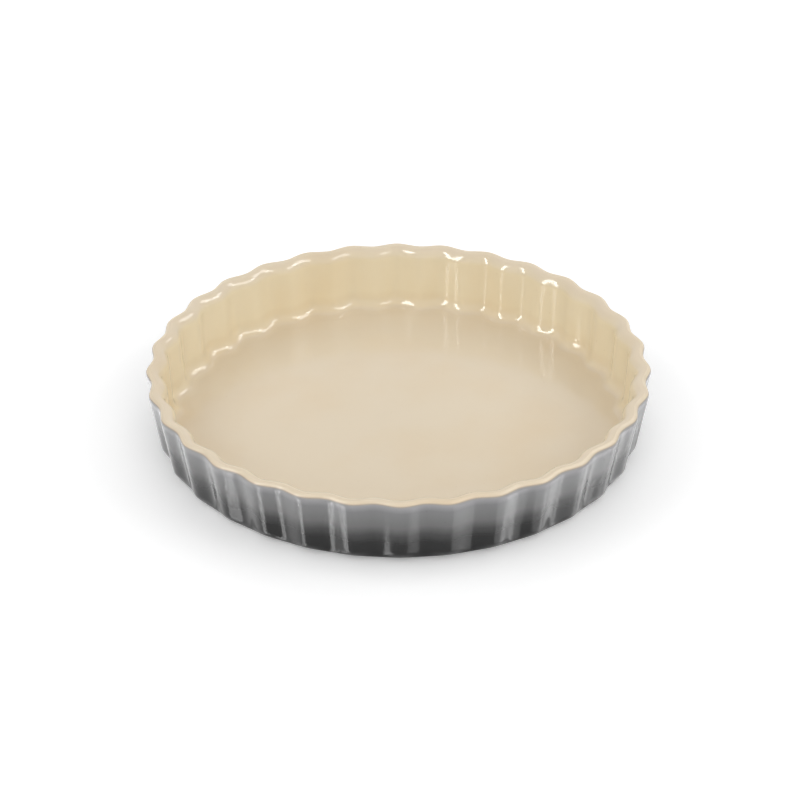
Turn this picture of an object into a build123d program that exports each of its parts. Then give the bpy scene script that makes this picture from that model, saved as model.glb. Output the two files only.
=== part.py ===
"""Fluted quiche dish in glazed stoneware.

The dish is one fired piece of clay under three coats of glaze. The clay is a flat floor and a
leaning wall, pressed into flutes, and it stands on a narrow foot ring that is left bare. A pale
coat lines the inside and laps over the lip, a dark coat covers the outside down to the foot, and
a third coat covers the underside within the foot ring. Each coat is fused to the clay all over.

Lengths are millimetres. The origin is on the table under the middle of the dish, +Z is up, and
the tip of one flute points along +X.
"""

import os
from math import acos, atan, cos, pi, radians, sin, sqrt, tan

from build123d import *

# Overall size, over the tips of the flutes and from the table to the top of the lip.
overall_diameter = 285.0
overall_height = 42.6

# Flutes: their number, and their depth from tip to hollow at the lip, above the toe and where
# they fade away under it.
flute_count = 32
lip_flute_depth = 2.8
toe_flute_depth = 3.3
faded_flute_depth = 0.1
fade_power = 3

# Wall: its outside leans, and its lip turns over in a tight round on the outside and in a broad
# soft shoulder on the inside, with a narrow flat between them on the crest.
wall_lean = radians(11.4)
lip_radius = 2.65
shoulder_radius = 6.5
crest_angle = radians(86)

# Toe, a quarter of an ellipse that turns the outside of the wall under.
toe_width = 5.5
toe_height = 9.4

# Floor, the mean radius of its flat, and the round cove from there to the inside of the wall.
floor_thickness = 6.0
flat_floor_radius = 123.33
cove_radius = 7.0

# Foot ring, which lifts the toe off the table, and the gap under the rest of the underside.
foot_lift = 0.8
foot_width = 5.0
foot_setback = 4.5
foot_rounding = 0.4
underside_clearance = 1.6

# Glaze: its thickness, how far below the crest the pale coat gives way to the dark one, and the
# strip of clay that is wiped bare on either side of the foot ring.
glaze_thickness = 0.5
glaze_line_drop = 1.5
bare_strip = 1.2

# Sections along each stretch of a profile.
toe_steps = 7
wall_steps = 7
lip_steps = 5
shoulder_steps = 6
cove_steps = 6

# Reach of cutting forms beyond the dish.
overrun = 10.0

# The crest, and the centres of the lip's round and of the shoulder, both under the crest.
lip_centre_radius = (overall_diameter - lip_flute_depth) / 2 - lip_radius
lip_centre_height = overall_height - lip_radius * sin(crest_angle)
shoulder_centre_height = overall_height - shoulder_radius * sin(crest_angle)

# The toe's centre, and the top of the toe where the wall is tangent to it.
toe_end_angle = -atan(toe_height / toe_width * tan(wall_lean))
toe_centre_height = foot_lift + toe_height
toe_top_height = toe_centre_height + toe_height * sin(toe_end_angle)
wall_top_height = lip_centre_height - lip_radius * sin(wall_lean)
wall_top_radius = lip_centre_radius + lip_radius * cos(wall_lean)
toe_top_radius = wall_top_radius - (wall_top_height - toe_top_height) * tan(wall_lean)
toe_centre_radius = toe_top_radius - toe_width * cos(toe_end_angle)

# The cove's centre, and the lean at which the inside of the wall is tangent to the cove and to
# the shoulder.
floor_height = foot_lift + floor_thickness
cove_centre_height = floor_height + cove_radius
centres_across = lip_centre_radius - flat_floor_radius
centres_up = shoulder_centre_height - cove_centre_height
centres_apart = sqrt(centres_across**2 + centres_up**2)
inner_lean = acos((shoulder_radius + cove_radius) / centres_apart)
inner_lean -= atan(centres_up / centres_across)

# The foot ring, the ends of the glaze beside it and the line between the two colours.
foot_outer_radius = toe_centre_radius - foot_setback
foot_inner_radius = foot_outer_radius - foot_width
underside_height = underside_clearance + glaze_thickness
glaze_line_height = overall_height - glaze_line_drop


def flute_depth_at(height):
    """Depth of the flutes at a height on the wall, even from the lip to the top of the toe."""
    share = (wall_top_height - height) / (wall_top_height - toe_top_height)
    return lip_flute_depth + (toe_flute_depth - lip_flute_depth) * share


def round_stretch(centre, half_width, half_height, start, end, steps):
    """Points (radius, height) along an arc of an ellipse about a centre, both ends included."""
    angles = [start + (end - start) * step / steps for step in range(steps + 1)]
    return [
        (centre[0] + half_width * cos(angle), centre[1] + half_height * sin(angle))
        for angle in angles
    ]


def straight_stretch(start, end):
    """Points (radius, height, flute depth) between the ends of a wall's face, closer near them."""
    shares = [(1 - cos(pi * step / wall_steps)) / 2 for step in range(1, wall_steps)]
    heights = [start[1] + (end[1] - start[1]) * share for share in shares]
    return [
        (start[0] + (end[0] - start[0]) * share, height, flute_depth_at(height))
        for share, height in zip(shares, heights)
    ]


def outside_profile(inset):
    """Mean radius, height and flute depth, from under the toe up the outside to the crest.

    The profile lies the inset inside the glazed face.
    """
    toe = round_stretch(
        (toe_centre_radius, toe_centre_height),
        toe_width - inset,
        toe_height - inset,
        -pi / 2,
        toe_end_angle,
        toe_steps,
    )
    shares = [sin(pi / 2 * step / toe_steps) ** fade_power for step in range(toe_steps + 1)]
    fades = [faded_flute_depth + (toe_flute_depth - faded_flute_depth) * share for share in shares]
    lip = round_stretch(
        (lip_centre_radius, lip_centre_height),
        lip_radius - inset,
        lip_radius - inset,
        -wall_lean,
        crest_angle,
        lip_steps,
    )
    return (
        [(*point, depth) for point, depth in zip(toe, fades)]
        + straight_stretch(toe[-1], lip[0])
        + [(*point, lip_flute_depth) for point in lip]
    )


def inside_profile(inset):
    """Mean radius, height and flute depth, from the crest down the inside to the floor.

    The profile lies the inset under the glazed face.
    """
    shoulder = round_stretch(
        (lip_centre_radius, shoulder_centre_height),
        shoulder_radius - inset,
        shoulder_radius - inset,
        pi - crest_angle,
        pi - inner_lean,
        shoulder_steps,
    )
    cove = round_stretch(
        (flat_floor_radius, cove_centre_height),
        cove_radius + inset,
        cove_radius + inset,
        -inner_lean,
        -pi / 2,
        cove_steps,
    )
    return (
        [(*point, lip_flute_depth) for point in shoulder]
        + straight_stretch(shoulder[-1], cove[0])
        + [(*point, toe_flute_depth) for point in cove]
    )


def polar_point(radius, angle):
    """Point at a radius and an angle."""
    return (radius * cos(angle), radius * sin(angle))


def fluted_form(profile):
    """Solid lofted through one fluted outline for each point of a profile.

    An outline is a ring of arcs, one over the tip of each flute and one through each hollow.
    Neighbours are tangent because they meet at the geometric mean of the two radii.
    """
    quarter_pitch = pi / 2 / flute_count
    with BuildPart() as form:
        for mean_radius, height, depth in profile:
            tip_radius = mean_radius + depth / 2
            hollow_radius = mean_radius - depth / 2
            meeting_radius = sqrt(tip_radius * hollow_radius)
            with BuildSketch(Plane.XY.offset(height)):
                with BuildLine():
                    over_tip = ThreePointArc(
                        polar_point(meeting_radius, -quarter_pitch),
                        polar_point(tip_radius, 0),
                        polar_point(meeting_radius, quarter_pitch),
                        mode=Mode.PRIVATE,
                    )
                    through_hollow = ThreePointArc(
                        polar_point(meeting_radius, quarter_pitch),
                        polar_point(hollow_radius, 2 * quarter_pitch),
                        polar_point(meeting_radius, 3 * quarter_pitch),
                        mode=Mode.PRIVATE,
                    )
                    with PolarLocations(0, flute_count):
                        add([over_tip, through_hollow])
                make_face()
        loft()
    return form.part


# Body: the fluted form and its hollow, the foot ring below, and the recess within the ring.
with BuildPart() as stoneware_body:
    add(fluted_form(outside_profile(glaze_thickness)))
    add(fluted_form(inside_profile(glaze_thickness)), mode=Mode.SUBTRACT)
    with BuildSketch():
        Circle(foot_outer_radius)
    extrude(amount=underside_height)
    with BuildSketch():
        Circle(foot_inner_radius)
    extrude(amount=underside_height, mode=Mode.SUBTRACT)
    fillet(stoneware_body.edges().group_by(Axis.Z)[0], foot_rounding)

# Skin of glaze on both faces of the wall, before it is parted into its two colours.
with BuildPart() as skin:
    add(fluted_form(outside_profile(0)))
    add(fluted_form(inside_profile(0)), mode=Mode.SUBTRACT)
    add(stoneware_body.part, mode=Mode.SUBTRACT)

# Space of the pale coat: inwards of the middle of the wall, and everything above the line
# between the two colours.
floor_middle = floor_height - floor_thickness / 2
wall_middle_radius = lip_centre_radius - (glaze_line_height - floor_middle) * tan(wall_lean)
outer_reach = overall_diameter / 2 + overrun
upper_reach = overall_height + overrun
with BuildPart() as pale_space:
    with BuildSketch(Plane.XZ):
        with BuildLine():
            Polyline(
                (0, floor_middle),
                (wall_middle_radius, floor_middle),
                (lip_centre_radius, glaze_line_height),
                (outer_reach, glaze_line_height),
                (outer_reach, upper_reach),
                (0, upper_reach),
                close=True,
            )
        make_face()
    revolve(axis=Axis.Z)

# Pale coat over the floor, the inside of the wall and the lip.
with BuildPart() as interior_glaze:
    add(skin.part)
    add(pale_space.part, mode=Mode.INTERSECT)

# Dark coat over the outside of the wall and the toe, up to the bare strip beside the foot ring.
with BuildPart() as exterior_glaze:
    add(skin.part)
    add(pale_space.part, mode=Mode.SUBTRACT)
    with BuildSketch():
        Circle(foot_outer_radius + bare_strip)
    extrude(amount=floor_middle, mode=Mode.SUBTRACT)

# Coat on the underside, inside the foot ring.
with BuildPart() as underside_glaze:
    with BuildSketch(Plane.XY.offset(underside_clearance)):
        Circle(foot_inner_radius - bare_strip)
    extrude(amount=glaze_thickness)

stoneware_body.part.label = "stoneware_body"
interior_glaze.part.label = "interior_glaze"
exterior_glaze.part.label = "exterior_glaze"
underside_glaze.part.label = "underside_glaze"

os.makedirs("parts", exist_ok=True)
export_step(stoneware_body.part, "parts/stoneware_body.step")
export_step(interior_glaze.part, "parts/interior_glaze.step")
export_step(exterior_glaze.part, "parts/exterior_glaze.step")
export_step(underside_glaze.part, "parts/underside_glaze.step")
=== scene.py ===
"""Fluted quiche dish: three coats of glaze over fired clay, on a white table in soft light.

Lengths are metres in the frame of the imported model: the origin is on the table under the middle
of the dish, +Z is up, and the tip of one flute points along +X.
"""

import logging
from collections.abc import Sequence
from dataclasses import dataclass
from enum import Enum
from math import acos, asin, atan, cos, degrees, hypot, pi, radians, sin, tan
from typing import NamedTuple

import bmesh
import bpy
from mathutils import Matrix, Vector


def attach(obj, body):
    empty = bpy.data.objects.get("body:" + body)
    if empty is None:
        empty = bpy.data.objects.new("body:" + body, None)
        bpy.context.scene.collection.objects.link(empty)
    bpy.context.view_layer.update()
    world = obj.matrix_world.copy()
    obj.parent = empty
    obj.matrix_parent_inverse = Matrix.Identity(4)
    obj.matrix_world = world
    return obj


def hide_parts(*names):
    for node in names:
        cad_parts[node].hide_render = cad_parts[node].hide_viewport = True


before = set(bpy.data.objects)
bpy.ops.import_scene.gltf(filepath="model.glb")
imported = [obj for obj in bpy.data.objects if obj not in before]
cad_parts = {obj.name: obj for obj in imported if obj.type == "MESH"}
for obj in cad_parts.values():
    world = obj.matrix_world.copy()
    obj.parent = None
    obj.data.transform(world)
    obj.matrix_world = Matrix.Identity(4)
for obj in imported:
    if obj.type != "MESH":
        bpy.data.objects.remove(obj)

log = logging.getLogger("quiche_dish")

# A socket of a node, and a colour as red, green and blue screen levels from 0 to 255.
Socket = bpy.types.NodeSocket
Levels = tuple[int, int, int]

# Columns of vertices on a flute, sides of the grid that closes a round end, and how finely a coat
# is subdivided.
COLUMNS_PER_FLUTE = 4
GRID_SIDES = 4
SUBDIVISION_LEVEL = 2

# Where a subdivided line passes a vertex of its cage: the vertex counts four times, and each of
# its two neighbours once.
OWN_WEIGHT = 4
WHOLE_WEIGHT = OWN_WEIGHT + 2

# Values that most of a noise lies between.
NOISE_LOW, NOISE_HIGH = 0.3, 0.7


class Column(Enum):
    """Where a column of vertices stands on a flute, and its side of the mean radius."""

    TIP = 1
    FLANK = 0
    HOLLOW = -1


class Station(NamedTuple):
    """One ring of a profile: mean radius, height, depth of the flutes, and whether it is sharp."""

    radius: float
    height: float
    depth: float = 0.0
    sharp: bool = False


@dataclass(frozen=True)
class DishForm:
    """Sizes of the dish over its glaze, the same as the solids have.

    The methods give stations of a profile at an inset under the glazed face. Turns are angles in
    degrees, 0 level outwards and 90 upwards.
    """

    diameter: float = 0.285
    height: float = 0.0426
    flutes: int = 32
    lip_depth: float = 0.0028
    toe_depth: float = 0.0033
    faded_depth: float = 0.0001
    fade_power: int = 3
    wall_lean: float = radians(11.4)
    lip_radius: float = 0.00265
    shoulder_radius: float = 0.0065
    toe_width: float = 0.0055
    toe_height: float = 0.0094
    floor_thickness: float = 0.006
    flat_floor_radius: float = 0.12333
    cove_radius: float = 0.007
    foot_lift: float = 0.0008
    foot_width: float = 0.005
    foot_setback: float = 0.0045
    underside_clearance: float = 0.0016
    glaze: float = 0.0005
    glaze_line_drop: float = 0.0015
    bare_strip: float = 0.0012

    @property
    def lip_centre(self) -> tuple[float, float]:
        """Radius and height of the lip's centre line."""
        return (self.diameter - self.lip_depth) / 2 - self.lip_radius, self.height - self.lip_radius

    @property
    def glaze_line_height(self) -> float:
        """Height at which the pale coat gives way to the dark one."""
        return self.height - self.glaze_line_drop

    @property
    def glaze_line_turn(self) -> float:
        """Turn on the round of the lip at which the pale coat gives way to the dark one."""
        return degrees(asin((self.lip_radius - self.glaze_line_drop) / self.lip_radius))

    @property
    def toe_end(self) -> float:
        """Angle on the toe at which the outside of the wall begins."""
        return -atan(self.toe_height / self.toe_width * tan(self.wall_lean))

    @property
    def toe_centre(self) -> tuple[float, float]:
        """Radius and height of the toe's centre."""
        lip_radius, lip_height = self.lip_centre
        wall_top = lip_height - self.lip_radius * sin(self.wall_lean)
        toe_top = self.foot_lift + self.toe_height * (1 + sin(self.toe_end))
        reach = lip_radius + self.lip_radius * cos(self.wall_lean)
        reach -= (wall_top - toe_top) * tan(self.wall_lean)
        return reach - self.toe_width * cos(self.toe_end), self.foot_lift + self.toe_height

    @property
    def floor_height(self) -> float:
        """Height of the glazed floor."""
        return self.foot_lift + self.floor_thickness

    @property
    def cove_centre(self) -> tuple[float, float]:
        """Radius and height of the centre of the cove."""
        return self.flat_floor_radius, self.floor_height + self.cove_radius

    @property
    def shoulder_centre(self) -> tuple[float, float]:
        """Radius and height of the centre of the shoulder inside the lip."""
        return self.lip_centre[0], self.height - self.shoulder_radius

    @property
    def inner_lean(self) -> float:
        """Lean in degrees at which the inside of the wall touches the cove and the shoulder."""
        across = self.shoulder_centre[0] - self.cove_centre[0]
        up = self.shoulder_centre[1] - self.cove_centre[1]
        between_them = acos((self.shoulder_radius + self.cove_radius) / hypot(across, up))
        return degrees(between_them - atan(up / across))

    @property
    def foot_outer(self) -> float:
        """Outer radius of the foot ring."""
        return self.toe_centre[0] - self.foot_setback

    @property
    def foot_inner(self) -> float:
        """Inner radius of the foot ring."""
        return self.foot_outer - self.foot_width

    def toe(self, inset: float, shares: Sequence[float]) -> list[Station]:
        """Stations round the toe.

        Args:
            inset: Depth under the glazed face.
            shares: Places on the way from under the toe, 0, to the outside of the wall, 1.

        Returns:
            One station for each share.
        """
        radius, height = self.toe_centre
        angles = [-pi / 2 + (self.toe_end + pi / 2) * share for share in shares]
        fades = [sin(pi / 2 * share) ** self.fade_power for share in shares]
        return [
            Station(
                radius + (self.toe_width - inset) * cos(angle),
                height + (self.toe_height - inset) * sin(angle),
                self.faded_depth + (self.toe_depth - self.faded_depth) * fade,
            )
            for angle, fade in zip(angles, fades)
        ]

    def shoulder(self, inset: float, turns: Sequence[float]) -> list[Station]:
        """Stations round the shoulder, one for each turn, at an inset under the glazed face."""
        return arc(self.shoulder_centre, self.shoulder_radius - inset, turns, self.lip_depth)

    def lip(self, inset: float, turns: Sequence[float]) -> list[Station]:
        """Stations round the lip, one for each turn, at an inset under the glazed face."""
        return arc(self.lip_centre, self.lip_radius - inset, turns, self.lip_depth)

    def cove(self, inset: float, turns: Sequence[float]) -> list[Station]:
        """Stations round the cove, one for each turn, at an inset under the glazed face."""
        return arc(self.cove_centre, self.cove_radius + inset, turns, self.toe_depth)


def arc(
    centre: tuple[float, float], reach: float, turns: Sequence[float], depth: float
) -> list[Station]:
    """Stations along an arc.

    Args:
        centre: Radius and height of its centre.
        reach: Its own radius.
        turns: Angles in degrees, 0 level outwards and 90 upwards.
        depth: Depth of the flutes.

    Returns:
        One station for each angle.
    """
    radius, height = centre
    return [
        Station(radius + reach * cos(radians(turn)), height + reach * sin(radians(turn)), depth)
        for turn in turns
    ]


def between(start: Station, end: Station, shares: Sequence[float]) -> list[Station]:
    """Stations on the straight way between two others.

    Args:
        start: Station at share 0.
        end: Station at share 1.
        shares: Places on the way.

    Returns:
        One station for each share.
    """
    return [
        Station(
            start.radius + (end.radius - start.radius) * share,
            start.height + (end.height - start.height) * share,
            start.depth + (end.depth - start.depth) * share,
        )
        for share in shares
    ]


def sharpened(station: Station) -> Station:
    """The same station with a sharp edge."""
    return station._replace(sharp=True)


@dataclass
class Coat:
    """A closed shell of glaze, drawn ring by ring along a profile and then fluted.

    A joined coat closes from its last ring to its first. Any other coat ends in a round face at
    either end.
    """

    name: str
    stations: list[Station]
    flutes: int
    joined: bool
    drawn_in: float = 0.9994
    swell: float = 0.00008
    swell_size: float = 0.03
    swell_level: float = 1.0
    smooth_angle: float = radians(50)
    cage_rounds: int = 40

    @property
    def columns(self) -> int:
        """Number of vertices in a ring."""
        return self.flutes * COLUMNS_PER_FLUTE

    def cage(self) -> list[Station]:
        """Finds the rings whose subdivided surface passes through the stations.

        Returns:
            A station for each ring of the cage.
        """
        last = len(self.stations) - 1
        goal = [Vector(station[:3]) for station in self.stations]
        rings = [place.copy() for place in goal]
        for _ in range(self.cage_rounds):
            surface = []
            for number, place in enumerate(rings):
                before, after = rings[number - 1], rings[(number + 1) % len(rings)]
                end = not self.joined and number in (0, last)
                kept = end or self.stations[number].sharp
                passed = (before + place * OWN_WEIGHT + after) / WHOLE_WEIGHT
                surface.append(place if kept else passed)
            rings = [place + (aim - reached) for place, aim, reached in zip(rings, goal, surface)]
        ring_gain = WHOLE_WEIGHT / (OWN_WEIGHT + 2 * cos(2 * pi / self.columns))
        flute_gain = WHOLE_WEIGHT / (OWN_WEIGHT + 2 * cos(2 * pi / COLUMNS_PER_FLUTE))
        return [
            Station(
                place[0] * ring_gain * self.drawn_in, place[1], place[2] * flute_gain, station.sharp
            )
            for place, station in zip(rings, self.stations)
        ]

    def build(self) -> bpy.types.Object:
        """Builds the shell.

        Returns:
            The finished object, at the origin, with its modifiers applied.
        """
        rings = self.cage()
        bpy.ops.object.select_all(action="DESELECT")
        bpy.ops.mesh.primitive_circle_add(
            vertices=self.columns,
            radius=rings[0].radius,
            fill_type="NOTHING",
            location=(0, 0, rings[0].height),
        )
        shell = bpy.context.object
        shell.name = self.name
        shell.data.name = self.name
        bpy.ops.object.transform_apply(location=True, rotation=True, scale=True)
        bpy.ops.object.mode_set(mode="EDIT")
        bpy.ops.mesh.select_mode(type="EDGE")
        for before, ring in zip(rings, rings[1:]):
            bpy.ops.mesh.extrude_edges_move(
                TRANSFORM_OT_translate={"value": (0, 0, ring.height - before.height)}
            )
            share = ring.radius / before.radius
            bpy.ops.transform.resize(value=(share, share, 1), center_override=(0, 0, ring.height))
        self.close_ends(shell, len(rings) - 1)
        self.flute(shell, rings)
        for number, ring in enumerate(rings):
            if ring.sharp:
                self.pick_rings(shell, [number])
                bpy.ops.transform.edge_crease(value=1)
        bpy.ops.mesh.select_all(action="SELECT")
        bpy.ops.mesh.normals_make_consistent(inside=False)
        bpy.ops.object.mode_set(mode="OBJECT")
        self.finish(shell)
        return shell

    def close_ends(self, shell: bpy.types.Object, last: int) -> None:
        """Joins the first and last rings, or fills each of them.

        Args:
            shell: Object in edit mode.
            last: Number of the last ring.
        """
        if self.joined:
            self.pick_rings(shell, [0, last])
            bpy.ops.mesh.bridge_edge_loops()
            return
        for number in (0, last):
            self.pick_rings(shell, [number])
            bpy.ops.mesh.fill_grid(span=self.columns // GRID_SIDES)

    def pick_rings(self, shell: bpy.types.Object, numbers: list[int]) -> None:
        """Selects the edges of whole rings in edit mode.

        Args:
            shell: Object in edit mode.
            numbers: Which rings, counted along the profile.
        """
        bpy.ops.mesh.select_mode(type="EDGE")
        bpy.ops.mesh.select_all(action="DESELECT")
        mesh = bmesh.from_edit_mesh(shell.data)
        for edge in mesh.edges:
            first, second = (corner.index // self.columns for corner in edge.verts)
            edge.select = first == second and first in numbers
        bmesh.update_edit_mesh(shell.data)

    def flute(self, shell: bpy.types.Object, rings: list[Station]) -> None:
        """Draws the tips of every ring out and its hollows in.

        Args:
            shell: Object in edit mode, with round rings.
            rings: Stations of the rings.
        """
        bpy.ops.mesh.select_mode(type="VERT")
        for number, ring in enumerate(rings):
            if not ring.depth:
                continue
            for column in (Column.TIP, Column.HOLLOW):
                bpy.ops.mesh.select_all(action="DESELECT")
                mesh = bmesh.from_edit_mesh(shell.data)
                for corner in mesh.verts:
                    if corner.index // self.columns == number:
                        corner.select = self.column_of(corner.co) == column
                bmesh.update_edit_mesh(shell.data)
                share = 1 + column.value * ring.depth / 2 / ring.radius
                bpy.ops.transform.resize(
                    value=(share, share, 1), center_override=(0, 0, ring.height)
                )

    def column_of(self, place: Vector) -> Column:
        """Tells which column a vertex stands in.

        Args:
            place: Where the vertex is.

        Returns:
            The column, by the angle about the axis. The first flute's tip is on +X.
        """
        step = round(Vector((1, 0)).angle_signed(place.xy) / (2 * pi) * self.columns)
        return (Column.TIP, Column.FLANK, Column.HOLLOW, Column.FLANK)[step % COLUMNS_PER_FLUTE]

    def finish(self, shell: bpy.types.Object) -> None:
        """Subdivides the shell and gives its surface the slight swell of fired glaze.

        The swell only draws the surface in, because its level is the most that the cloud reaches.

        Args:
            shell: Object in object mode.
        """
        rounding = shell.modifiers.new("rounding", "SUBSURF")
        rounding.levels = SUBDIVISION_LEVEL
        rounding.render_levels = SUBDIVISION_LEVEL
        bpy.ops.object.modifier_apply(modifier=rounding.name)
        cloud = bpy.data.textures.new(self.name + "_swell", "CLOUDS")
        cloud.noise_scale = self.swell_size
        waver = shell.modifiers.new("waver", "DISPLACE")
        waver.texture = cloud
        waver.texture_coords = "LOCAL"
        waver.mid_level = self.swell_level
        waver.strength = self.swell
        bpy.ops.object.modifier_apply(modifier=waver.name)
        bpy.ops.object.shade_smooth_by_angle(angle=self.smooth_angle)


class Blend(Enum):
    """How a tint is laid over a colour."""

    DARKEN = "MULTIPLY"
    COVER = "MIX"


class Sum(Enum):
    """How two values are put together."""

    ADD = "ADD"
    MULTIPLY = "MULTIPLY"
    LARGER = "MAXIMUM"


class Patches(NamedTuple):
    """A noise: the size of its patches in metres, its finer layers and how much they show."""

    size: float
    layers: float = 2.0
    share: float = 0.5


class Spots(NamedTuple):
    """Patches of a tint: where in the noise they start and are full, how strong, what colour."""

    patches: Patches
    start: float
    full: float
    strength: float
    tint: Levels


class Sheen(NamedTuple):
    """Roughness that wanders between two values over patches."""

    low: float
    high: float
    patches: Patches


class Bump(NamedTuple):
    """A layer of bumps and its depth in metres."""

    patches: Patches
    depth: float


class Wiring:
    """The nodes of one tree, added and joined by short calls."""

    def __init__(self, tree: bpy.types.NodeTree) -> None:
        """Starts with an empty tree.

        Args:
            tree: The tree to clear and fill.
        """
        self.tree = tree
        self.tree.nodes.clear()

    def add(self, kind: str, **settings: object) -> bpy.types.Node:
        """Adds a node.

        Args:
            kind: Blender's name of the node.
            **settings: Properties to set on it.

        Returns:
            The new node.
        """
        node = self.tree.nodes.new(kind)
        for key, value in settings.items():
            setattr(node, key, value)
        return node

    def join(self, source: Socket, target: Socket) -> None:
        """Joins an output to an input."""
        self.tree.links.new(source, target)

    def figure(self, kind: Sum, first: Socket, second: Socket | float) -> Socket:
        """Works out a sum of two values.

        Args:
            kind: The sum.
            first: First value.
            second: Second value, or a fixed number.

        Returns:
            The result.
        """
        node = self.add("ShaderNodeMath", operation=kind.value)
        self.join(first, node.inputs[0])
        if isinstance(second, float):
            node.inputs[1].default_value = second
        else:
            self.join(second, node.inputs[1])
        return node.outputs[0]

    def seen(self) -> Socket:
        """Marks what the camera sees, in gloss and through glass too.

        Returns:
            1 for such rays and 0 for the light that falls on things.
        """
        path = self.add("ShaderNodeLightPath")
        shown = self.figure(Sum.LARGER, path.outputs["Is Camera Ray"], path.outputs["Is Glossy Ray"])
        return self.figure(Sum.LARGER, shown, path.outputs["Is Transmission Ray"])

    def mixed(self, share: Socket, first: Socket | None, second: Socket) -> Socket:
        """Mixes two shaders.

        Args:
            share: How much of the second one shows.
            first: First shader, or None for nothing at all.
            second: Second shader.

        Returns:
            The mixture.
        """
        node = self.add("ShaderNodeMixShader")
        self.join(share, node.inputs[0])
        if first:
            self.join(first, node.inputs[1])
        self.join(second, node.inputs[2])
        return node.outputs[0]

    def together(self, first: Socket, second: Socket) -> Socket:
        """Adds two shaders.

        Args:
            first: First shader.
            second: Second shader.

        Returns:
            Both at once.
        """
        node = self.add("ShaderNodeAddShader")
        self.join(first, node.inputs[0])
        self.join(second, node.inputs[1])
        return node.outputs[0]


class Recipe(Wiring):
    """The nodes of one material."""

    def __init__(self, name: str) -> None:
        """Starts a material.

        Args:
            name: Name of the material.
        """
        self.material = bpy.data.materials.new(name)
        self.material.use_nodes = True
        super().__init__(self.material.node_tree)
        self.output = self.add("ShaderNodeOutputMaterial")
        self.place = self.add("ShaderNodeTexCoord").outputs["Object"]
        apart = self.add("ShaderNodeSeparateXYZ")
        self.join(self.place, apart.inputs[0])
        self.height = apart.outputs["Z"]

    def noise(self, patches: Patches) -> Socket:
        """Adds a noise in Object coordinates.

        Args:
            patches: Its patches.

        Returns:
            A value about 0.5.
        """
        node = self.add("ShaderNodeTexNoise")
        node.inputs["Scale"].default_value = 1 / patches.size
        node.inputs["Detail"].default_value = patches.layers
        node.inputs["Roughness"].default_value = patches.share
        self.join(self.place, node.inputs["Vector"])
        return node.outputs["Fac"]

    def fit(self, source: Socket, start: float, end: float, low: float, high: float) -> Socket:
        """Maps one range of a value to another.

        Args:
            source: The value.
            start: Value that becomes low.
            end: Value that becomes high.
            low: Result at the start.
            high: Result at the end.

        Returns:
            The mapped value.
        """
        node = self.add("ShaderNodeMapRange")
        for key, value in zip(("From Min", "From Max", "To Min", "To Max"), (start, end, low, high)):
            node.inputs[key].default_value = value
        self.join(source, node.inputs["Value"])
        return node.outputs["Result"]

    def wavering_height(self, patches: Patches, reach: float) -> Socket:
        """Adds a waver to the height above the table.

        Args:
            patches: Patches of the waver.
            reach: How far up and down it goes.

        Returns:
            The wavering height.
        """
        waver = self.fit(self.noise(patches), 0.0, 1.0, -reach, reach)
        return self.figure(Sum.ADD, self.height, waver)

    def shades(self, source: Socket, stops: Sequence[tuple[float, Levels]]) -> Socket:
        """Spreads colours over a value.

        Args:
            source: The value.
            stops: Values from 0 to 1, each with its colour as screen levels from 0 to 255.

        Returns:
            The colour.
        """
        node = self.add("ShaderNodeValToRGB")
        ramp = node.color_ramp
        while len(ramp.elements) < len(stops):
            ramp.elements.new(1.0)
        for element, (value, levels) in zip(ramp.elements, stops):
            element.position = value
            element.color = screen_colour(levels)
        self.join(source, node.inputs[0])
        return node.outputs[0]

    def tinted(self, share: Socket, colour: Socket, tint: Levels, way: Blend) -> Socket:
        """Lays a tint over a colour.

        Args:
            share: How much of the tint shows.
            colour: Colour underneath.
            tint: The tint as screen levels from 0 to 255.
            way: How it is laid over.

        Returns:
            The new colour.
        """
        node = self.add("ShaderNodeMix", data_type="RGBA", blend_type=way.value)
        self.join(share, node.inputs["Factor"])
        self.join(colour, node.inputs["A"])
        node.inputs["B"].default_value = screen_colour(tint)
        return node.outputs["Result"]

    def spotted(self, colour: Socket, spots: Spots) -> Socket:
        """Darkens a colour in patches.

        Args:
            colour: Colour underneath.
            spots: The patches.

        Returns:
            The new colour.
        """
        share = self.fit(self.noise(spots.patches), spots.start, spots.full, 0.0, spots.strength)
        return self.tinted(share, colour, spots.tint, Blend.DARKEN)

    def shine(self, sheen: Sheen) -> Socket:
        """Gives a roughness that wanders between its two values."""
        return self.fit(self.noise(sheen.patches), NOISE_LOW, NOISE_HIGH, sheen.low, sheen.high)

    def bumps(self, layers: Sequence[Bump]) -> Socket:
        """Stacks bumps.

        Args:
            layers: The bumps, coarse first.

        Returns:
            The bumped normal.
        """
        normal = None
        for layer in layers:
            node = self.add("ShaderNodeBump")
            node.inputs["Distance"].default_value = layer.depth
            self.join(self.noise(layer.patches), node.inputs["Height"])
            if normal:
                self.join(normal, node.inputs["Normal"])
            normal = node.outputs[0]
        return normal

    def fired(
        self, colour: Socket, rough: Socket, normal: Socket, density: float
    ) -> bpy.types.Material:
        """Ends the recipe in an opaque shader.

        Args:
            colour: Base colour.
            rough: Roughness.
            normal: Bumped normal.
            density: Index of refraction.

        Returns:
            The material.
        """
        shader = self.add("ShaderNodeBsdfPrincipled")
        shader.inputs["IOR"].default_value = density
        self.join(colour, shader.inputs["Base Color"])
        self.join(rough, shader.inputs["Roughness"])
        self.join(normal, shader.inputs["Normal"])
        self.join(shader.outputs[0], self.output.inputs["Surface"])
        return self.material


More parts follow.
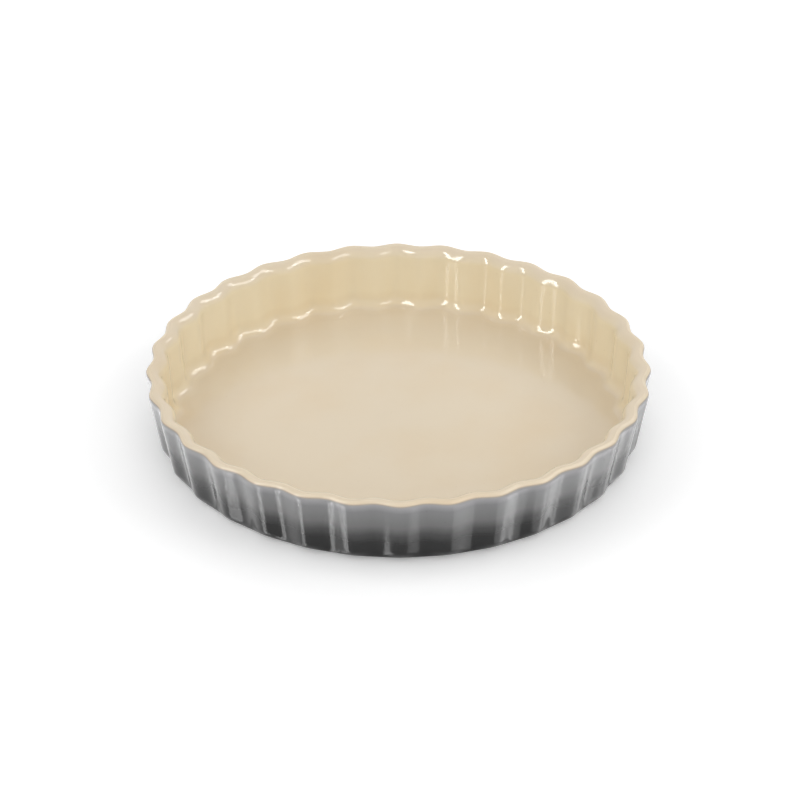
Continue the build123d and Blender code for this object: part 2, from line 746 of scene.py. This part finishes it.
def screen_colour(levels: Levels) -> tuple[float, ...]:
    """Turns screen levels into the linear colour that shaders take, by the curve of sRGB.

    Args:
        levels: Red, green and blue from 0 to 255.

    Returns:
        The linear red, green, blue and a full alpha.
    """
    shares = [level / 255 for level in levels]
    linear = [
        share / 12.92 if share <= 0.04045 else ((share + 0.055) / 1.055) ** 2.4 for share in shares
    ]
    return (*linear, 1)


def grey(value: float) -> tuple[float, ...]:
    """Linear grey of a value, with a full alpha."""
    return (value, value, value, 1)


@dataclass(frozen=True)
class CreamGlaze:
    """Pale glossy glaze, toasted where it thins out, with light and shade painted into its colours
    by height.

    The wall and the cove are painted lighter than the floor to make up for the shade on them, and
    the lip darker for the light it catches. The shares say how far up from the foot of the cove to
    the crest each colour stands.
    """

    crest: float
    line: float
    cove_foot: float = 0.006
    waver: Patches = Patches(0.012, 3.0)
    waver_reach: float = 0.0003
    # Painted light: the wall and cove colours are lighter than the floor's to make up for the shade
    # on them, and the lip's is darker for the light it catches.
    floor: Levels = (224, 209, 184)
    floor_share: float = 0.03
    cove_painted_lighter: Levels = (231, 215, 184)
    cove_share: float = 0.07
    wall: Levels = (238, 225, 195)
    wall_shares: tuple[float, float] = (0.3, 0.85)
    lip: Levels = (226, 210, 184)
    lip_share: float = 0.98
    clouds: Spots = Spots(Patches(0.05, 3.0), 0.45, 0.75, 0.35, (250, 240, 222))
    specks: Spots = Spots(Patches(0.0016), 0.74, 0.8, 0.35, (205, 182, 146))
    edge: Levels = (200, 180, 154)
    edge_strength: float = 0.8
    edge_start: float = 0.0006
    edge_full: float = 0.0001
    outer_facing: float = 0.2
    worn_edge: float = 0.3
    sheen: Sheen = Sheen(0.08, 0.13, Patches(0.03, 4.0, 0.6))
    layers: tuple[Bump, ...] = (Bump(Patches(0.011), 0.00007), Bump(Patches(0.0025), 0.000008))
    density: float = 1.5

    def make(self) -> bpy.types.Material:
        """Makes the material.

        Returns:
            The finished material.
        """
        recipe = Recipe("cream_glaze")
        level = recipe.wavering_height(self.waver, self.waver_reach)
        # Colours by height, with painted light and shade: a lighter wall and cove and a darker lip.
        colour = recipe.shades(
            recipe.fit(level, self.cove_foot, self.crest, 0.0, 1.0),
            [
                (self.floor_share, self.floor),
                (self.cove_share, self.cove_painted_lighter),
                *((share, self.wall) for share in self.wall_shares),
                (self.lip_share, self.lip),
            ],
        )
        colour = recipe.spotted(colour, self.clouds)
        outer = self.beyond_crest(recipe)
        full, start = self.line + self.edge_full, self.line + self.edge_start
        near = recipe.fit(level, full, start, self.edge_strength, 0.0)
        thin = recipe.figure(Sum.MULTIPLY, near, outer)
        colour = recipe.tinted(thin, colour, self.edge, Blend.COVER)
        colour = recipe.spotted(colour, self.specks)
        worn = recipe.figure(Sum.MULTIPLY, outer, self.worn_edge)
        rough = recipe.figure(Sum.ADD, recipe.shine(self.sheen), worn)
        return recipe.fired(colour, rough, recipe.bumps(self.layers), self.density)

    def beyond_crest(self, recipe: Recipe) -> Socket:
        """Marks the outer side of the lip.

        Args:
            recipe: Recipe that the nodes go into.

        Returns:
            1 on the outer side of the lip and 0 on the inner side.
        """
        flat = recipe.add("ShaderNodeVectorMath", operation="MULTIPLY")
        flat.inputs[1].default_value = (1, 1, 0)
        recipe.join(recipe.place, flat.inputs[0])
        outwards = recipe.add("ShaderNodeVectorMath", operation="NORMALIZE")
        recipe.join(flat.outputs[0], outwards.inputs[0])
        facing = recipe.add("ShaderNodeVectorMath", operation="DOT_PRODUCT")
        recipe.join(outwards.outputs[0], facing.inputs[0])
        recipe.join(recipe.add("ShaderNodeNewGeometry").outputs["True Normal"], facing.inputs[1])
        return recipe.fit(facing.outputs["Value"], 0.0, self.outer_facing, 0.0, 1.0)


@dataclass(frozen=True)
class CharcoalGlaze:
    """Dark glossy glaze, sprayed thinner towards the lip, where it is light grey; near the table its
    dark is deepened with painted shade.

    The stops say how far up from the table to the crest each grey stands.
    """

    crest: float
    line: float
    waver: Patches = Patches(0.018, 3.0)
    waver_reach: float = 0.0012
    # The glaze darkens towards the foot; the lowest stops are deepened further with painted shade
    # for the shadowed table that the toe mirrors.
    stops: tuple[tuple[float, Levels], ...] = (
        (0.0, (8, 8, 8)),
        (0.15, (6, 6, 6)),
        (0.3, (13, 13, 13)),
        (0.45, (64, 64, 64)),
        (0.6, (109, 109, 109)),
        (0.85, (128, 128, 129)),
        (0.95, (158, 158, 159)),
    )
    specks: Spots = Spots(Patches(0.0014), 0.7, 0.8, 0.3, (120, 118, 116))
    edge: Levels = (178, 166, 152)
    edge_strength: float = 0.9
    edge_start: float = 0.0007
    edge_full: float = 0.0001
    sheen: Sheen = Sheen(0.1, 0.16, Patches(0.03, 4.0, 0.6))
    layers: tuple[Bump, ...] = (Bump(Patches(0.012), 0.00005), Bump(Patches(0.0025), 0.000006))
    density: float = 1.4

    def make(self) -> bpy.types.Material:
        """Makes the material.

        Returns:
            The finished material.
        """
        recipe = Recipe("charcoal_glaze")
        level = recipe.wavering_height(self.waver, self.waver_reach)
        colour = recipe.shades(recipe.fit(level, 0.0, self.crest, 0.0, 1.0), self.stops)
        start, full = self.line - self.edge_start, self.line - self.edge_full
        near = recipe.fit(recipe.height, start, full, 0.0, self.edge_strength)
        colour = recipe.tinted(near, colour, self.edge, Blend.COVER)
        colour = recipe.spotted(colour, self.specks)
        rough = recipe.shine(self.sheen)
        return recipe.fired(colour, rough, recipe.bumps(self.layers), self.density)


@dataclass(frozen=True)
class UndersideGlaze:
    """Dark glaze on the underside, less glossy and a little mottled."""

    mottle: Patches = Patches(0.02, 4.0, 0.6)
    stops: tuple[tuple[float, Levels], ...] = (
        (0.3, (44, 42, 42)),
        (0.6, (58, 56, 55)),
        (0.8, (72, 69, 67)),
    )
    sheen: Sheen = Sheen(0.16, 0.3, Patches(0.012, 4.0, 0.6))
    layers: tuple[Bump, ...] = (Bump(Patches(0.014), 0.0002), Bump(Patches(0.002), 0.00002))
    density: float = 1.5

    def make(self) -> bpy.types.Material:
        """Makes the material.

        Returns:
            The finished material.
        """
        recipe = Recipe("underside_glaze")
        colour = recipe.shades(recipe.noise(self.mottle), self.stops)
        rough = recipe.shine(self.sheen)
        return recipe.fired(colour, rough, recipe.bumps(self.layers), self.density)


@dataclass(frozen=True)
class BareStoneware:
    """Unglazed clay of the foot ring: fine, matt and slightly gritty."""

    mottle: Patches = Patches(0.008, 5.0, 0.65)
    stops: tuple[tuple[float, Levels], ...] = (
        (0.3, (186, 164, 138)),
        (0.5, (206, 186, 160)),
        (0.75, (218, 200, 176)),
    )
    grit: Spots = Spots(Patches(0.0009, 3.0, 0.6), 0.62, 0.72, 0.6, (150, 120, 92))
    sheen: Sheen = Sheen(0.75, 0.92, Patches(0.004, 3.0))
    layers: tuple[Bump, ...] = (Bump(Patches(0.0012, 4.0, 0.7), 0.00006),)
    density: float = 1.45

    def make(self) -> bpy.types.Material:
        """Makes the material.

        Returns:
            The finished material.
        """
        recipe = Recipe("bare_stoneware")
        colour = recipe.spotted(recipe.shades(recipe.noise(self.mottle), self.stops), self.grit)
        rough = recipe.shine(self.sheen)
        return recipe.fired(colour, rough, recipe.bumps(self.layers), self.density)


@dataclass(frozen=True)
class WhiteTable:
    """White table top that glows a little, more so further away, so that its edge doesn't show.

    The glow shows to the camera and in gloss but lights nothing. The polish shows only in gloss,
    where it passes on the light of the lamps.
    """

    white: float = 1.0
    near_glow: float = 0.2
    far_glow: float = 0.65
    near_radius: float = 0.45
    far_radius: float = 1.6
    polish: float = 0.26
    polish_roughness: float = 0.04

    def make(self) -> bpy.types.Material:
        """Makes the material.

        Returns:
            The finished material.
        """
        recipe = Recipe("white_table")
        plain = recipe.add("ShaderNodeBsdfDiffuse")
        plain.inputs["Color"].default_value = grey(self.white)
        glow = recipe.add("ShaderNodeEmission")
        away = recipe.add("ShaderNodeVectorMath", operation="LENGTH")
        recipe.join(recipe.place, away.inputs[0])
        strength = recipe.fit(
            away.outputs["Value"],
            self.near_radius,
            self.far_radius,
            self.near_glow,
            self.far_glow,
        )
        recipe.join(strength, glow.inputs["Strength"])
        shown = recipe.mixed(recipe.seen(), None, glow.outputs[0])
        polish = recipe.add("ShaderNodeBsdfGlossy")
        polish.inputs["Color"].default_value = grey(self.polish)
        polish.inputs["Roughness"].default_value = self.polish_roughness
        path = recipe.add("ShaderNodeLightPath")
        mirrored = recipe.mixed(path.outputs["Is Glossy Ray"], None, polish.outputs[0])
        whole = recipe.together(recipe.together(plain.outputs[0], shown), mirrored)
        recipe.join(whole, recipe.output.inputs["Surface"])
        return recipe.material


@dataclass(frozen=True)
class Lining:
    """Pale coat over the floor, the cove, the inside of the wall and the lip.

    Turns say where its rings stand on a round, in degrees, and shares where they stand on a
    straight. Its hidden face lies on the clay.
    """

    form: DishForm
    floor_radii: tuple[float, ...] = (0.105, 0.113)
    floor_rim_radius: float = 0.119
    floor_rim_depth: float = 0.0025
    cove_turns: tuple[float, ...] = (-90, -69, -47, -25)
    wall_shares: tuple[float, ...] = (0.14, 0.45, 0.78, 0.95)
    shoulder_turns: tuple[float, ...] = (162, 146, 129, 114, 101)
    lip_turns: tuple[float, ...] = (88, 72, 55, 40)
    hidden_lip_turn: float = 60
    hidden_shoulder_turns: tuple[float, ...] = (115, 148)
    hidden_wall_share: float = 0.5
    hidden_cove_turns: tuple[float, ...] = (-50, -90)
    hidden_floor_radius: float = 0.112

    def glazed_face(self) -> list[Station]:
        """Draws the face that shows, from the floor up the wall and over the lip.

        Returns:
            Its stations.
        """
        form = self.form
        floor = [Station(radius, form.floor_height) for radius in self.floor_radii]
        floor.append(Station(self.floor_rim_radius, form.floor_height, self.floor_rim_depth))
        cove = form.cove(0, [*self.cove_turns, -form.inner_lean])
        shoulder = form.shoulder(0, [180 - form.inner_lean, *self.shoulder_turns])
        wall = between(cove[-1], shoulder[0], self.wall_shares)
        lip = form.lip(0, [*self.lip_turns, form.glaze_line_turn])
        lip[-1] = sharpened(lip[-1])
        return floor + cove + wall + shoulder + lip

    def hidden_face(self) -> list[Station]:
        """Draws the face on the clay, from the line on the lip back to the floor.

        Returns:
            Its stations.
        """
        form = self.form
        lip = form.lip(form.glaze, [form.glaze_line_turn, self.hidden_lip_turn])
        lip[0] = sharpened(lip[0])
        lean = form.inner_lean
        shoulder = form.shoulder(form.glaze, [*self.hidden_shoulder_turns, 180 - lean])
        cove = form.cove(form.glaze, [-lean, *self.hidden_cove_turns])
        wall = between(shoulder[-1], cove[0], [self.hidden_wall_share])
        floor = Station(self.hidden_floor_radius, form.floor_height - form.glaze)
        return lip + shoulder + wall + cove + [floor]

    def build(self) -> bpy.types.Object:
        """Builds the coat."""
        stations = self.glazed_face() + self.hidden_face()
        return Coat("inner_glaze_coat", stations, self.form.flutes, joined=False).build()


@dataclass(frozen=True)
class Casing:
    """Dark coat over the outside of the wall and the toe, up to the bare strip by the foot.

    Turns and shares say where its rings stand, as in the lining.
    """

    form: DishForm
    end_round: float = 0.00022
    toe_shares: tuple[float, ...] = (0, 0.18, 0.36, 0.54, 0.72, 0.88, 1)
    wall_shares: tuple[float, ...] = (0.07, 0.24, 0.52, 0.8, 0.93, 0.98)
    lip_turns: tuple[float, ...] = (0, 13)
    hidden_lip_turn: float = 6
    hidden_wall_share: float = 0.5
    hidden_toe_shares: tuple[float, ...] = (1, 0.7, 0.4, 0)

    def foot_end(self) -> list[Station]:
        """Draws the rounded end of the coat beside the foot.

        Returns:
            Its stations.
        """
        form = self.form
        end = form.foot_outer + form.bare_strip
        low, high = form.foot_lift, form.foot_lift + form.glaze
        return [
            Station(end + self.end_round, high),
            Station(end, (low + high) / 2),
            Station(end + self.end_round, low),
        ]

    def glazed_face(self) -> list[Station]:
        """Draws the face that shows, from under the toe to the line on the lip.

        Returns:
            Its stations.
        """
        form = self.form
        toe = form.toe(0, self.toe_shares)
        lip = form.lip(0, [-degrees(form.wall_lean), *self.lip_turns, form.glaze_line_turn])
        lip[-1] = sharpened(lip[-1])
        return toe + between(toe[-1], lip[0], self.wall_shares) + lip

    def hidden_face(self) -> list[Station]:
        """Draws the face on the clay, from the line on the lip back under the toe.

        Returns:
            Its stations.
        """
        form = self.form
        turns = [form.glaze_line_turn, self.hidden_lip_turn, -degrees(form.wall_lean)]
        lip = form.lip(form.glaze, turns)
        lip[0] = sharpened(lip[0])
        toe = form.toe(form.glaze, self.hidden_toe_shares)
        return lip + between(lip[-1], toe[0], [self.hidden_wall_share]) + toe

    def build(self) -> bpy.types.Object:
        """Builds the coat."""
        stations = self.foot_end() + self.glazed_face() + self.hidden_face()
        return Coat("outer_glaze_coat", stations, self.form.flutes, joined=True).build()


@dataclass(frozen=True)
class UndersideCoat:
    """Dark coat within the foot ring, a plain round sheet with a rounded edge.

    It has no flutes, so half as many columns are enough.
    """

    form: DishForm
    end_round: float = 0.00022
    radii: tuple[float, ...] = (0.108, 0.114)

    def build(self) -> bpy.types.Object:
        """Builds the coat.

        Returns:
            The finished object.
        """
        form = self.form
        end = form.foot_inner - form.bare_strip
        low, high = form.underside_clearance, form.underside_clearance + form.glaze
        radii = [*self.radii, end - self.end_round]
        under = [Station(radius, low) for radius in radii]
        over = [Station(radius, high) for radius in reversed(radii)]
        stations = under + [Station(end, (low + high) / 2)] + over
        return Coat("underside_glaze_coat", stations, form.flutes // 2, joined=False).build()


@dataclass
class QuicheDish:
    """The dish: a clay body and its three coats of glaze."""

    form: DishForm

    def dress(self) -> None:
        """Builds every coat, gives it its finish and reports it."""
        form = self.form
        cream = CreamGlaze(form.height, form.glaze_line_height)
        charcoal = CharcoalGlaze(form.height, form.glaze_line_height)
        for coat, node, slot, finish in (
            (Lining(form), "interior_glaze", "cream_glaze", cream),
            (Casing(form), "exterior_glaze", "charcoal_glaze", charcoal),
            (UndersideCoat(form), "underside_glaze", "underside_glaze", UndersideGlaze()),
        ):
            shell = coat.build()
            shell.data.materials.clear()
            shell.data.materials.append(finish.make())
            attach(shell, "root")
            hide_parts(node)
            log.info("%s: %d faces", shell.name, len(shell.data.polygons))
        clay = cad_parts["stoneware_body"]
        bare = BareStoneware().make()
        for place in clay.material_slots:
            place.material = bare
        log.info("%s: %d faces", clay.name, len(clay.data.polygons))


class LampUse(Enum):
    """What a lamp is for: it lights things, is mirrored in them, or only in the table."""

    LIGHTING = "lighting"
    MIRRORED = "mirrored"
    TABLE = "table"


@dataclass(frozen=True)
class Softbox:
    """An area lamp, turned to the dish, with its place by azimuth and elevation in degrees."""

    name: str
    azimuth: float
    elevation: float
    distance: float
    width: float
    height: float
    power: float
    use: LampUse

    def hang(self, table_alone: bpy.types.Collection) -> None:
        """Hangs the lamp.

        Args:
            table_alone: Collection that holds only the table.
        """
        lamp = bpy.data.lights.new(self.name, "AREA")
        lamp.shape = "RECTANGLE"
        lamp.size = self.width
        lamp.size_y = self.height
        lamp.energy = self.power
        holder = bpy.data.objects.new(self.name, lamp)
        bpy.context.scene.collection.objects.link(holder)
        holder.visible_diffuse = self.use == LampUse.LIGHTING
        holder.visible_glossy = self.use != LampUse.LIGHTING
        if self.use == LampUse.TABLE:
            holder.light_linking.receiver_collection = table_alone
        way = direction(self.azimuth, self.elevation)
        holder.location = way * self.distance
        holder.rotation_mode = "QUATERNION"
        holder.rotation_quaternion = way.to_track_quat("Z", "Y")


def direction(azimuth: float, elevation: float) -> Vector:
    """Finds a direction from the dish.

    Args:
        azimuth: Degrees about +Z from +X.
        elevation: Degrees above the table.

    Returns:
        A unit vector.
    """
    level = cos(radians(elevation))
    across, along = cos(radians(azimuth)) * level, sin(radians(azimuth)) * level
    return Vector((across, along, sin(radians(elevation))))


@dataclass
class Studio:
    """White table, soft lamps, an even white room and the camera."""

    camera_azimuth: float = -90.435
    camera_elevation: float = 32.14
    camera_distance: float = 2.817
    aim_across: float = 0.00079
    aim_up: float = 0.01807
    lens: float = 223.1
    sensor: float = 36
    clip_start: float = 0.1
    clip_end: float = 50
    table_width: float = 8.0
    ambient: float = 0.35
    softboxes: tuple[Softbox, ...] = (
        Softbox("front_fill", -90, 25, 2.0, 2.0, 1.0, 12, LampUse.LIGHTING),
        Softbox("left_fill", 180, 42, 2.0, 2.0, 1.0, 10, LampUse.LIGHTING),
        Softbox("right_fill", 0, 38, 2.0, 2.0, 1.0, 11, LampUse.LIGHTING),
        Softbox("back_fill", 90, 35, 2.0, 2.0, 1.0, 9, LampUse.LIGHTING),
        Softbox("overhead", 0, 80, 2.2, 1.6, 1.6, 5, LampUse.LIGHTING),
        Softbox("window", -147, 36, 1.6, 0.38, 1.75, 25, LampUse.MIRRORED),
        Softbox("left_glow", 162, 45, 1.6, 2.6, 1.4, 24, LampUse.TABLE),
        Softbox("right_strip", -20, 47, 1.8, 1.3, 0.52, 10, LampUse.MIRRORED),
        Softbox("right_back_strip", 20, 47, 1.8, 1.2, 0.52, 9, LampUse.MIRRORED),
    )

    def stand_camera(self) -> None:
        """Places the camera at the photograph's angle."""
        lens = bpy.data.cameras.new("camera")
        lens.lens = self.lens
        lens.sensor_width = self.sensor
        lens.clip_start, lens.clip_end = self.clip_start, self.clip_end
        camera = bpy.data.objects.new("camera", lens)
        bpy.context.scene.collection.objects.link(camera)
        bpy.context.scene.camera = camera
        way = direction(self.camera_azimuth, self.camera_elevation)
        across = Vector((0, 0, 1)).cross(way).normalized()
        upwards = way.cross(across)
        aim = across * self.aim_across + upwards * self.aim_up
        camera.location = way * self.camera_distance
        camera.rotation_mode = "QUATERNION"
        camera.rotation_quaternion = (camera.location - aim).to_track_quat("Z", "Y")

    def lay_table(self) -> bpy.types.Collection:
        """Lays the white table, which keeps the dish's shadow.

        Returns:
            A collection that holds only the table.
        """
        bpy.ops.object.select_all(action="DESELECT")
        bpy.ops.mesh.primitive_plane_add(size=self.table_width, location=(0, 0, 0))
        table = bpy.context.object
        table.name = "table"
        table.data.materials.append(WhiteTable().make())
        alone = bpy.data.collections.new("table_alone")
        alone.objects.link(table)
        return alone

    def light_room(self) -> None:
        """Fills the room with even light and shows it white."""
        world = bpy.data.worlds.new("room")
        bpy.context.scene.world = world
        world.use_nodes = True
        wiring = Wiring(world.node_tree)
        dim = wiring.add("ShaderNodeBackground")
        dim.inputs["Strength"].default_value = self.ambient
        white = wiring.add("ShaderNodeBackground")
        for background in (dim, white):
            background.inputs["Color"].default_value = grey(1)
        either = wiring.mixed(wiring.seen(), dim.outputs[0], white.outputs[0])
        output = wiring.add("ShaderNodeOutputWorld")
        wiring.join(either, output.inputs["Surface"])

    def set_up(self) -> None:
        """Sets up the table, the lamps and the camera."""
        table_alone = self.lay_table()
        self.light_room()
        for softbox in self.softboxes:
            softbox.hang(table_alone)
        self.stand_camera()
        bpy.context.scene.view_settings.view_transform = "Standard"


def main() -> None:
    """Builds the dish and the studio."""
    logging.basicConfig(level=logging.INFO)
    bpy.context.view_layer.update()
    QuicheDish(DishForm()).dress()
    Studio().set_up()


if __name__ == "__main__":
    main()
